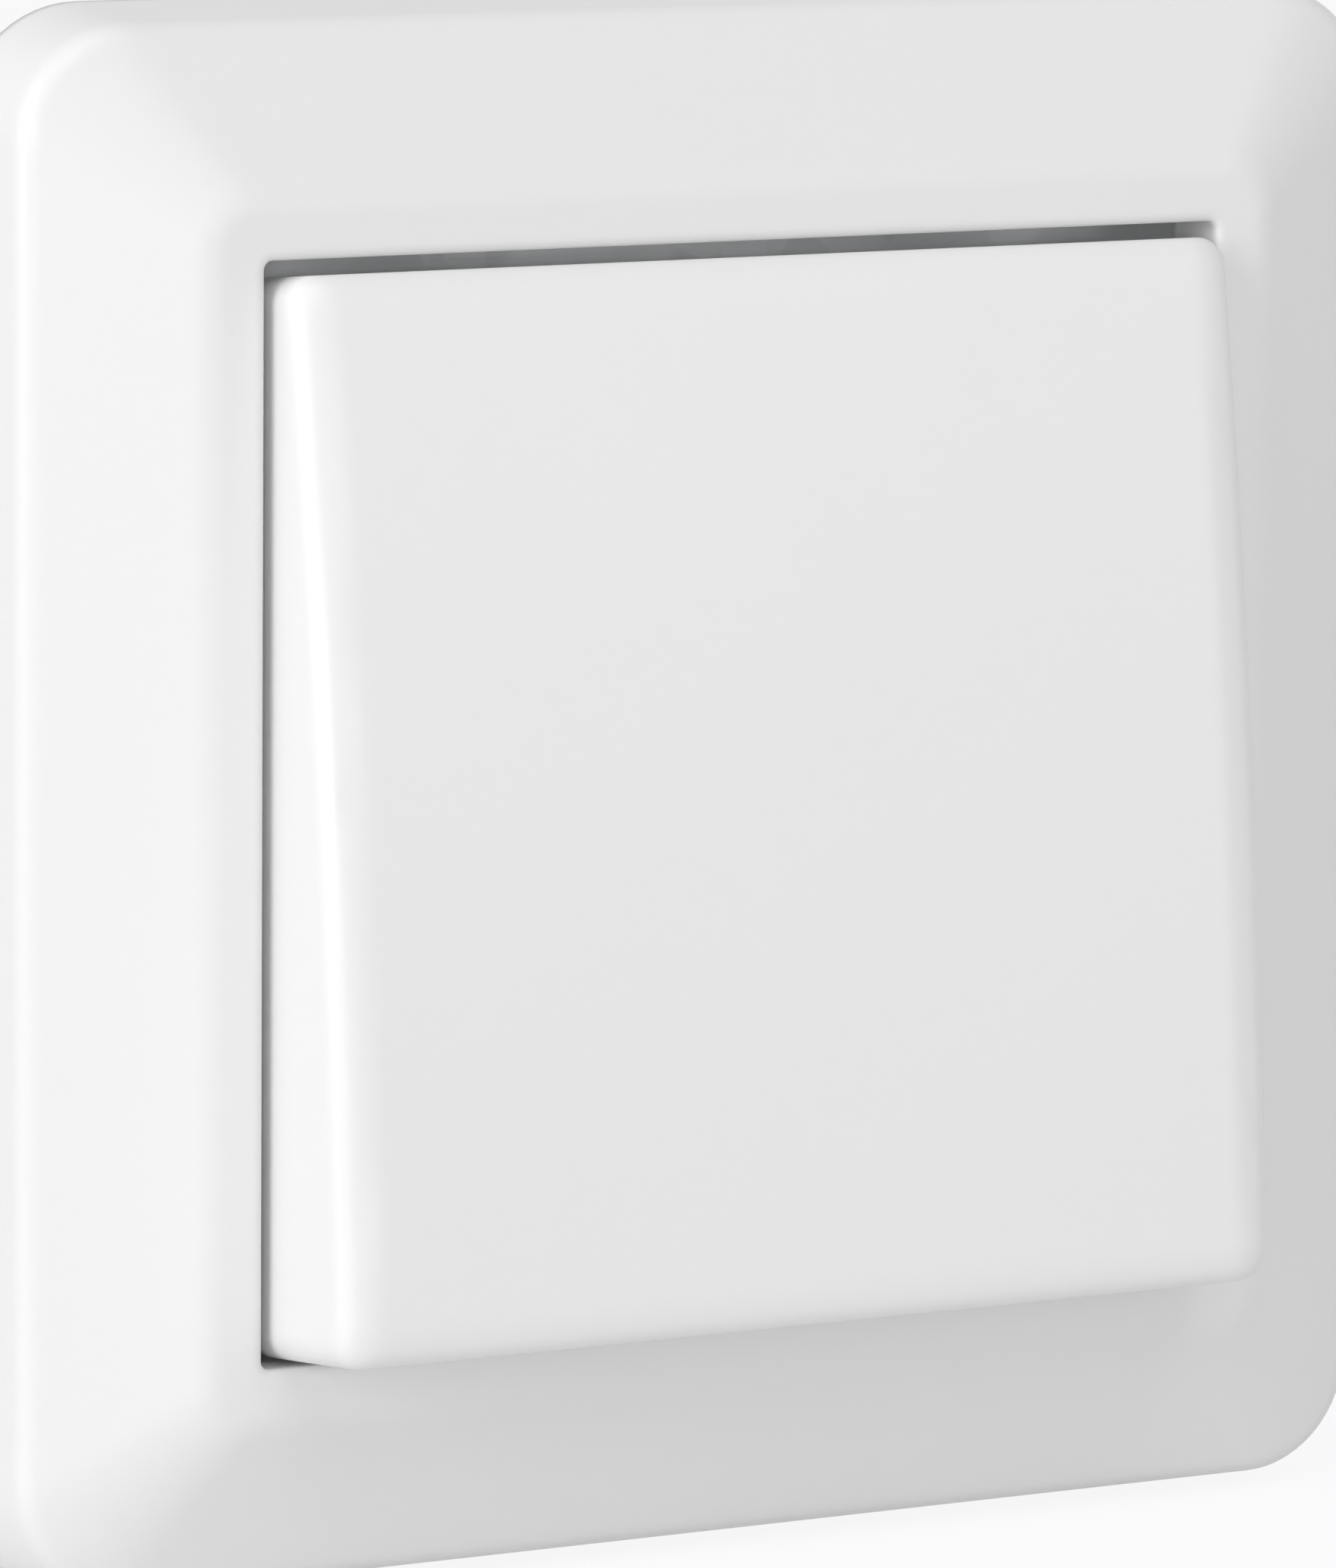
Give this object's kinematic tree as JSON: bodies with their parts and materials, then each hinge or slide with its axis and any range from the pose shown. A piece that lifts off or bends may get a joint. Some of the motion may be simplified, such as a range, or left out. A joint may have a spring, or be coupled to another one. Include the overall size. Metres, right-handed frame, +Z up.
{
  "type": "light switch",
  "caption": "Flush wall light switch: square white frame with sloping faces around a gently crowned rocker, on a steel plate with a push-in terminal insert behind.",
  "frame": {"origin": "centre of the support plate's rear face, on the wall, midway between the box screws", "axes": "+X to the right seen from the room, -Y out of the wall into the room, +Z up"},
  "size_m": [0.0816, 0.0418, 0.0816],
  "materials": {
    "white_moulding": "fine satin gloss",
    "carrier_moulding": "plain moulded",
    "insert_moulding": "plain moulded",
    "button_moulding": "plain moulded",
    "zinc_steel": "zinc coated",
    "spring_steel": "bright rolled",
    "terminal_brass": "stamped",
    "contact_silver": "bright"
  },
  "bodies": {
    "base": {"cover_frame": "white_moulding", "support_plate": "zinc_steel", "insert_body": "insert_moulding", "insert_cover": "insert_moulding", "assembly_screws": "zinc_steel", "common_terminal": "terminal_brass", "upper_terminal": "terminal_brass", "lower_terminal": "terminal_brass", "fixed_contacts": "contact_silver", "clamp_spring_feed_upper": "spring_steel", "clamp_spring_feed_lower": "spring_steel", "clamp_spring_out_upper": "spring_steel", "clamp_spring_out_lower": "spring_steel"},
    "rocker": {"rocker": "white_moulding", "rocker_carrier": "carrier_moulding", "toggle_spring": "spring_steel"},
    "plunger": {"toggle_plunger": "carrier_moulding"},
    "bridge": {"contact_bridge": "terminal_brass", "bridge_contacts": "contact_silver"},
    "feed_button": {"release_button_feed": "button_moulding"},
    "out_button": {"release_button_out": "button_moulding"}
  },
  "joints": [
    {"name": "rocker_hinge", "type": "hinge", "parent": "base", "child": "rocker", "pos_m": [0, -0.0116, 0], "axis": [1, 0, 0], "range_deg": [0, 12]},
    {"name": "plunger_slide", "type": "slide", "parent": "rocker", "child": "plunger", "axis": [0, -0.9945, 0.1045], "range_m": [0, 0.001], "stiffness_N_per_m": 300, "springref_m": -0.005, "deforming": ["toggle_spring"]},
    {"name": "bridge_hinge", "type": "hinge", "parent": "base", "child": "bridge", "pos_m": [0, 0.00305, 0], "axis": [1, 0, 0], "range_deg": [-16, 0]},
    {"name": "feed_button_slide", "type": "slide", "parent": "base", "child": "feed_button", "axis": [0, -1, 0], "range_m": [0, 0.002], "stiffness_N_per_m": 500, "springref_m": -0.001, "deforming": ["clamp_spring_feed_upper", "clamp_spring_feed_lower"]},
    {"name": "out_button_slide", "type": "slide", "parent": "base", "child": "out_button", "axis": [0, -1, 0], "range_m": [0, 0.002], "stiffness_N_per_m": 500, "springref_m": -0.001, "deforming": ["clamp_spring_out_upper", "clamp_spring_out_lower"]}
  ],
  "couplings": [
    {"joint": "bridge_hinge", "follows": "rocker_hinge", "ratio": -1.3333}
  ]
}
